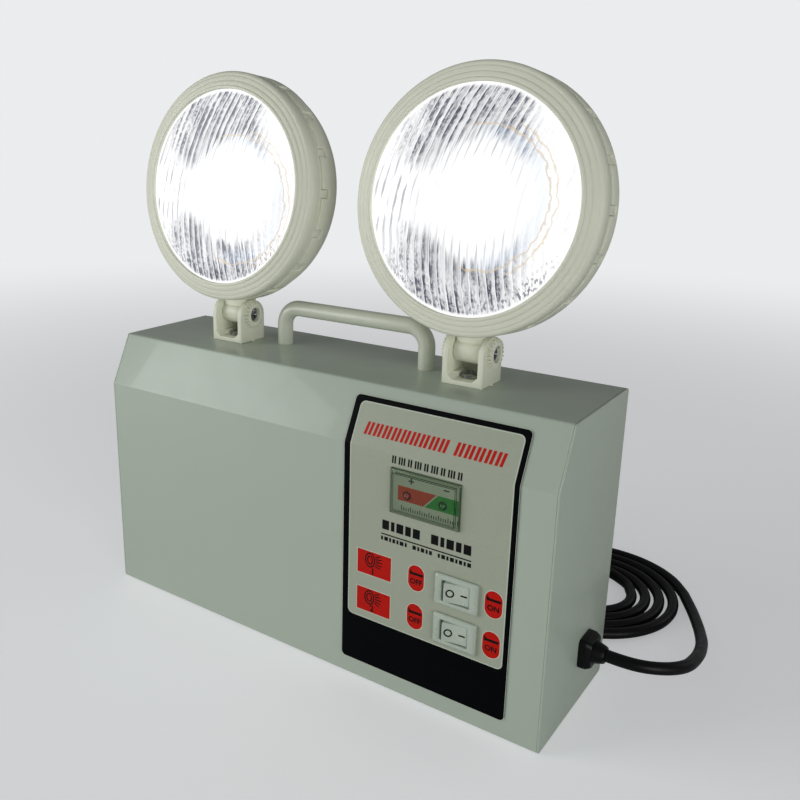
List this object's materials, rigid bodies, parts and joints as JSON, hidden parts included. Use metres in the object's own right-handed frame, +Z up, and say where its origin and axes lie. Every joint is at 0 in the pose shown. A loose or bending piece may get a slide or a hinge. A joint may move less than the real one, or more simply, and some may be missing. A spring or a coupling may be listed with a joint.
{
  "type": "emergency light",
  "caption": "Portable emergency light: steel case with battery and charger, rocker switches, carrying handle, swivelling round lamp heads and a coiled mains cord.",
  "frame": {"origin": "middle of the underside of the case, on the surface that it stands on", "axes": "+X to the right along the case, -Y out of the front with the switches, +Z up"},
  "size_m": [0.3174, 0.2125, 0.2954],
  "materials": {
    "case_paint": "semi-gloss paint",
    "handle_paint": "semi-gloss paint",
    "steel": "zinc plated",
    "pins": "nickel plated",
    "label": "printed film",
    "meter_clear": "clear, gloss",
    "meter_print": "printed card",
    "lamp_red": "gloss",
    "lamp_green": "gloss",
    "board": "solder mask",
    "white_plastic": "semi-gloss",
    "rocker": "semi-gloss",
    "contacts": "tin plated",
    "battery_case": "moulded",
    "core_steel": "stacked sheet",
    "winding": "taped winding",
    "parts": "moulded",
    "fuse_glass": "clear with metal clips",
    "cream_plastic": "fine satin",
    "lens_glass": "clear, fluted back",
    "mirror": "hammered mirror",
    "lamp_glass": "clear",
    "socket": "ceramic white",
    "cord_black": "semi-gloss"
  },
  "bodies": {
    "case": {"case_shell": "case_paint", "left_end_panel": "case_paint", "right_end_panel": "case_paint", "rear_cover": "case_paint", "rear_cover_screws": "steel", "label_panel": "label", "meter_cover": "meter_clear", "meter_scale": "meter_print", "charge_led": "lamp_red", "discharge_led": "lamp_green", "indicator_board": "board", "upper_switch": "white_plastic", "lower_switch": "white_plastic", "switch_terminals": "contacts", "handle": "handle_paint", "handle_nuts": "steel", "battery": "battery_case", "battery_terminals": "contacts", "battery_strap": "steel", "transformer_core": "core_steel", "transformer_coil": "winding", "charger_board": "board", "board_posts": "steel", "relay": "parts", "capacitors": "parts", "fuse": "fuse_glass", "swivel_screws": "steel", "swivel_nuts": "steel", "strain_relief": "cord_black", "power_cord": "cord_black", "cord_coil": "cord_black", "cord_tail": "cord_black", "plug_body": "cord_black", "plug_pins": "pins"},
    "left_yoke": {"left_yoke": "cream_plastic", "left_tilt_screw": "steel", "left_tilt_nut": "steel"},
    "left_head": {"left_housing": "cream_plastic", "left_ring": "cream_plastic", "left_lens": "lens_glass", "left_reflector": "mirror", "left_lamp": "lamp_glass", "left_lamp_socket": "socket"},
    "right_yoke": {"right_yoke": "cream_plastic", "right_tilt_screw": "steel", "right_tilt_nut": "steel"},
    "right_head": {"right_housing": "cream_plastic", "right_ring": "cream_plastic", "right_lens": "lens_glass", "right_reflector": "mirror", "right_lamp": "lamp_glass", "right_lamp_socket": "socket"},
    "upper_rocker": {"upper_rocker": "rocker"},
    "lower_rocker": {"lower_rocker": "rocker"}
  },
  "joints": [
    {"name": "left_head_pan", "type": "hinge", "parent": "case", "child": "left_yoke", "pos_m": [-0.0757, 0.0039, 0.151], "axis": [0, 0, 1], "range_deg": [-90, 90]},
    {"name": "left_head_tilt", "type": "hinge", "parent": "left_yoke", "child": "left_head", "pos_m": [-0.0757, 0.0041, 0.1661], "axis": [1, 0, 0], "range_deg": [-30, 30]},
    {"name": "right_head_pan", "type": "hinge", "parent": "case", "child": "right_yoke", "pos_m": [0.0713, 0.0039, 0.151], "axis": [0, 0, 1], "range_deg": [-90, 90]},
    {"name": "right_head_tilt", "type": "hinge", "parent": "right_yoke", "child": "right_head", "pos_m": [0.0713, 0.0041, 0.1661], "axis": [1, 0, 0], "range_deg": [-30, 30]},
    {"name": "upper_rocker_turn", "type": "hinge", "parent": "case", "child": "upper_rocker", "pos_m": [0.0917, -0.0384, 0.0656], "axis": [0, 0, 1], "range_deg": [-24, 0]},
    {"name": "lower_rocker_turn", "type": "hinge", "parent": "case", "child": "lower_rocker", "pos_m": [0.0917, -0.0384, 0.0456], "axis": [0, 0, 1], "range_deg": [-24, 0]}
  ]
}
